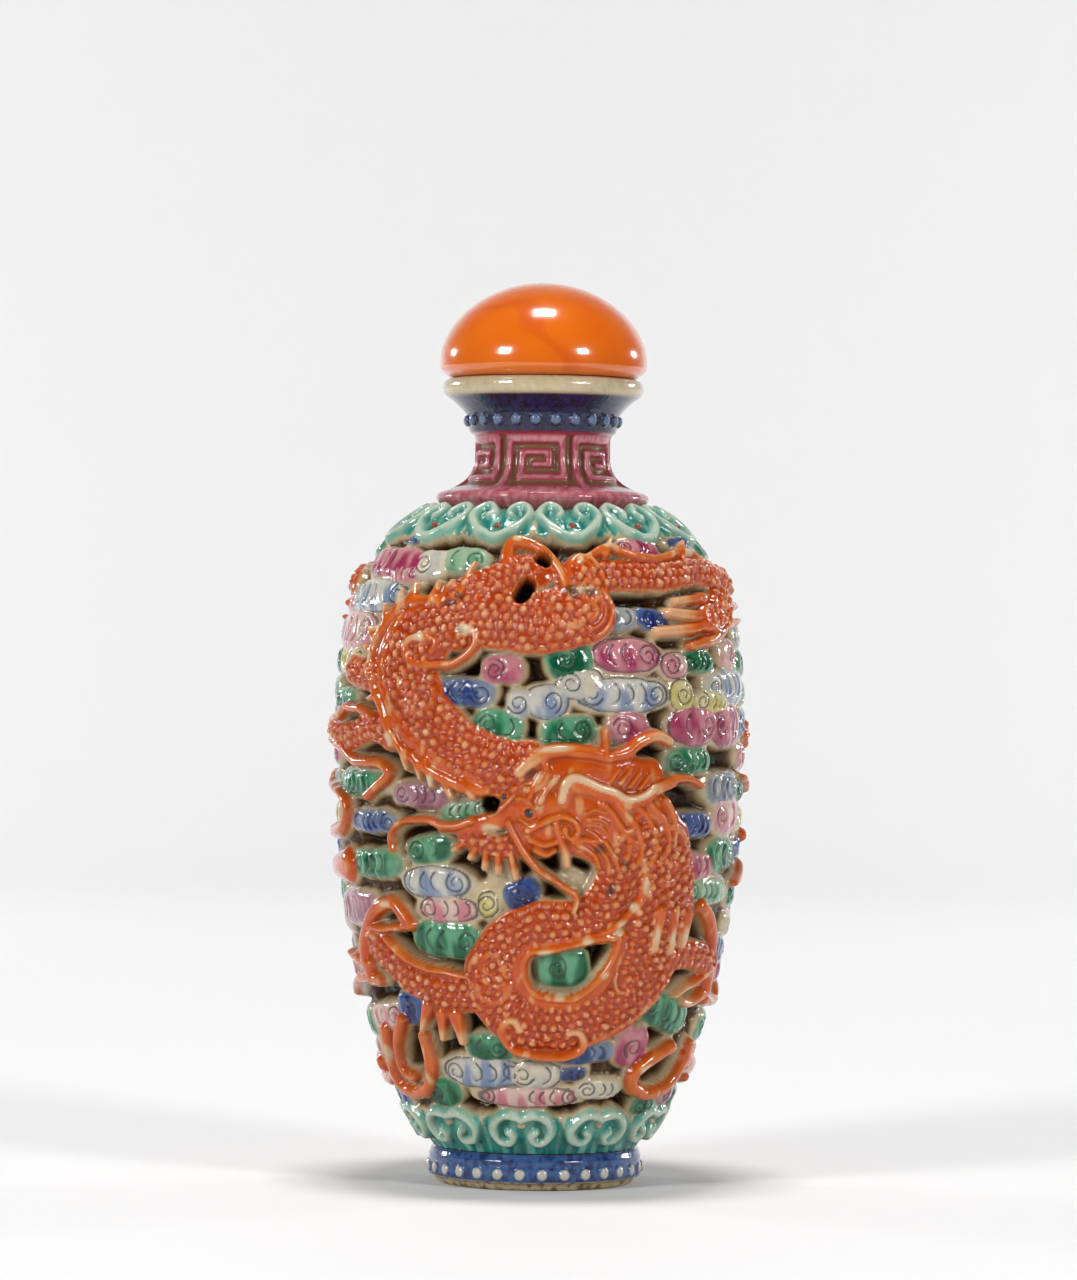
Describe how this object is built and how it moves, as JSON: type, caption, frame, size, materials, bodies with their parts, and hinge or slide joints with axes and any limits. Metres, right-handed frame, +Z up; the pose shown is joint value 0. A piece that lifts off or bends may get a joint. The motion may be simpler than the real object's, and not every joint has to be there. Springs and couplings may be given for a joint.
{
  "type": "snuff bottle",
  "caption": "Moulded porcelain snuff bottle with a pierced relief of dragons in clouds, fret neck, ruyi collars and a lift-off domed stopper with a cork.",
  "frame": {"origin": "under the middle of the foot, on the plane it stands on", "axes": "+Z up the bottle's axis, front dragon towards -Y, +X to the viewer's right"},
  "size_m": [0.0356, 0.0364, 0.0755],
  "materials": {
    "enamelled_porcelain": "glossy coloured enamels over white glazed porcelain, iron red dragons",
    "orange_cabochon": "polished translucent orange stone",
    "cork": "plain cork"
  },
  "bodies": {
    "root": {"bottle": "enamelled_porcelain", "stopper_cap": "orange_cabochon", "stopper_cork": "cork"}
  },
  "joints": []
}
